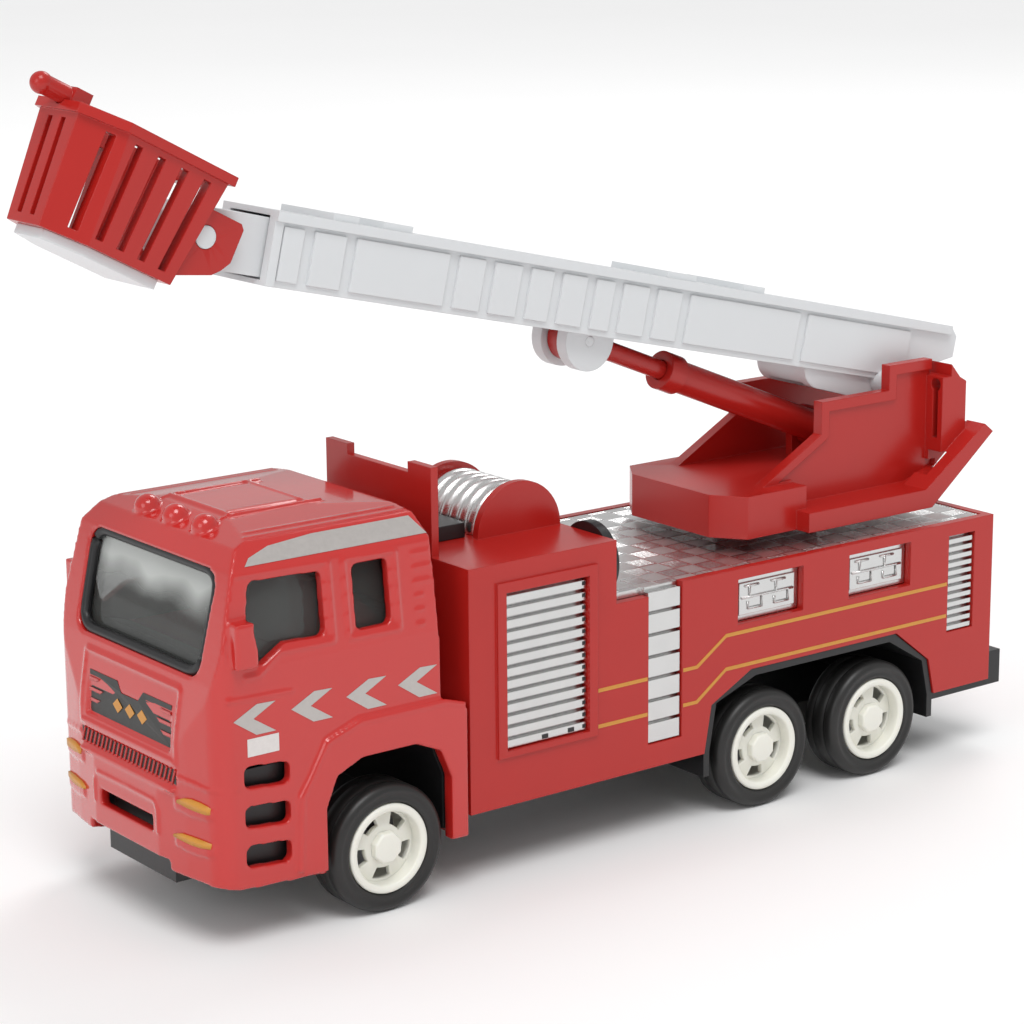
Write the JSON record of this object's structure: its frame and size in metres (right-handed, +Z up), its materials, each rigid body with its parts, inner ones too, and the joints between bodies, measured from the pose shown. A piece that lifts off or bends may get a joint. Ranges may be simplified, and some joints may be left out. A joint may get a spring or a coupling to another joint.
{
  "type": "toy fire engine with aerial rescue boom",
  "caption": "Toy fire engine: forward cab, locker box with a hose reel, checker-plate deck, and a turning turret whose telescopic boom carries a slatted rescue bucket.",
  "frame": {"origin": "middle of the object's length and width, on the plane the tyres stand on", "axes": "+X towards the cab's nose, +Y the vehicle's left side, +Z up"},
  "size_m": [0.1609, 0.0444, 0.1135],
  "materials": {
    "cab_paint": "glossy red enamel on die-cast metal",
    "red_plastic": "glossy moulded red plastic",
    "white_plastic": "semi-gloss white plastic",
    "silver_plating": "vacuum-plated silver over plastic",
    "black_plastic": "satin black plastic",
    "interior_plastic": "dull dark grey plastic",
    "cream_plastic": "semi-gloss cream plastic",
    "tyre_black": "smooth soft black",
    "steel": "bright drawn steel",
    "smoked_clear": "smoked clear plastic, polished"
  },
  "bodies": {
    "vehicle": {"chassis": "black_plastic", "chassis_screws": "steel", "rear_body": "red_plastic", "deck_insert": "silver_plating", "hose_reel": "silver_plating", "reel_cradle": "black_plastic", "coupling_disc": "black_plastic", "cab_shell": "cab_paint", "cab_glazing": "smoked_clear", "cab_interior": "interior_plastic", "steering_wheel": "interior_plastic"},
    "front_wheelset": {"front_axle": "steel", "front_left_rim": "cream_plastic", "front_left_tyre": "tyre_black", "front_right_rim": "cream_plastic", "front_right_tyre": "tyre_black"},
    "mid_wheelset": {"mid_axle": "steel", "mid_left_rim": "cream_plastic", "mid_left_tyre": "tyre_black", "mid_right_rim": "cream_plastic", "mid_right_tyre": "tyre_black"},
    "rear_wheelset": {"rear_axle": "steel", "rear_left_rim": "cream_plastic", "rear_left_tyre": "tyre_black", "rear_right_rim": "cream_plastic", "rear_right_tyre": "tyre_black"},
    "turntable": {"turntable_disc": "white_plastic", "turret_washer": "steel", "turret_screw": "steel", "turret": "red_plastic", "ram_foot_pin": "steel"},
    "boom": {"boom_outer": "white_plastic", "ram_eye_pin": "steel"},
    "boom_extension": {"boom_inner": "white_plastic"},
    "rescue_bucket": {"bucket": "red_plastic", "bucket_tray": "white_plastic", "water_monitor": "red_plastic"},
    "ram_cylinder": {"ram_barrel": "red_plastic"},
    "ram_piston": {"ram_rod": "red_plastic"}
  },
  "joints": [
    {"name": "front_wheel_spin", "type": "hinge", "parent": "vehicle", "child": "front_wheelset", "pos_m": [0.04104, 0, 0.009], "axis": [0, 1, 0], "continuous": true},
    {"name": "mid_wheel_spin", "type": "hinge", "parent": "vehicle", "child": "mid_wheelset", "pos_m": [-0.02676, 0, 0.009], "axis": [0, 1, 0], "continuous": true},
    {"name": "rear_wheel_spin", "type": "hinge", "parent": "vehicle", "child": "rear_wheelset", "pos_m": [-0.04946, 0, 0.009], "axis": [0, 1, 0], "continuous": true},
    {"name": "turntable_rotate", "type": "hinge", "parent": "vehicle", "child": "turntable", "pos_m": [-0.045, 0, 0.0375], "axis": [0, 0, 1], "continuous": true},
    {"name": "boom_lift", "type": "hinge", "parent": "turntable", "child": "boom", "pos_m": [-0.0642, 0, 0.0575], "axis": [0, -1, 0], "range_deg": [-12.5, 45]},
    {"name": "boom_extend", "type": "slide", "parent": "boom", "child": "boom_extension", "axis": [0.9736, 0, 0.2284], "range_m": [0, 0.05]},
    {"name": "bucket_tilt", "type": "hinge", "parent": "boom_extension", "child": "rescue_bucket", "pos_m": [0.05821, 0, 0.09176], "axis": [0, -1, 0], "range_deg": [-28, 30]},
    {"name": "ram_cylinder_pivot", "type": "hinge", "parent": "turntable", "child": "ram_cylinder", "pos_m": [-0.0567, 0, 0.05], "axis": [0, -1, 0], "range_deg": [-13, 46.2]},
    {"name": "ram_piston_slide", "type": "slide", "parent": "ram_cylinder", "child": "ram_piston", "axis": [0.9259, 0, 0.3778], "range_m": [-0.0023, 0.0081]}
  ],
  "couplings": [
    {"joint": "ram_cylinder_pivot", "follows": "boom_lift", "ratio": 1.0187},
    {"joint": "ram_piston_slide", "follows": "boom_lift", "m_per_rad": 0.010072}
  ]
}
